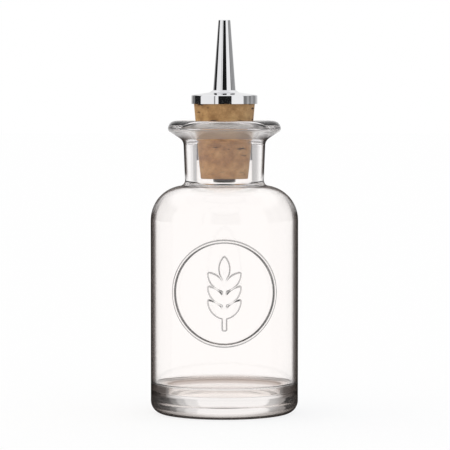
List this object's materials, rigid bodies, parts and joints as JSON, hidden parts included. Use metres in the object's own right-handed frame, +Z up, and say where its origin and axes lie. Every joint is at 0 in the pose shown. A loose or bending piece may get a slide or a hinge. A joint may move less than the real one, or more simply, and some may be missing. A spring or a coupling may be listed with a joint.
{
  "type": "bitters bottle",
  "caption": "Round clear glass bitters bottle with a flared pouring lip, a tapered cork and a chromed conical dasher that lift out.",
  "frame": {"origin": "centre of the base, on the surface that the bottle stands on", "axes": "+Z up along the bottle's axis, -Y towards the front, where the raised badge is"},
  "size_m": [0.052, 0.0525, 0.1387],
  "materials": {
    "glass": "clear, fire-polished",
    "cork": "natural cork, turned and unsealed",
    "chrome": "polished plate",
    "steel": "bright drawn tube"
  },
  "bodies": {
    "bottle": {"bottle": "glass"},
    "stopper": {"cork": "cork"},
    "dasher": {"stem": "steel", "cap": "chrome", "spout": "chrome"}
  },
  "joints": [
    {"name": "stopper_lift", "type": "slide", "parent": "bottle", "child": "stopper", "axis": [0, 0, 1], "range_m": [0, 0.03]},
    {"name": "dasher_lift", "type": "slide", "parent": "stopper", "child": "dasher", "axis": [0, 0, 1], "range_m": [0, 0.032]}
  ]
}
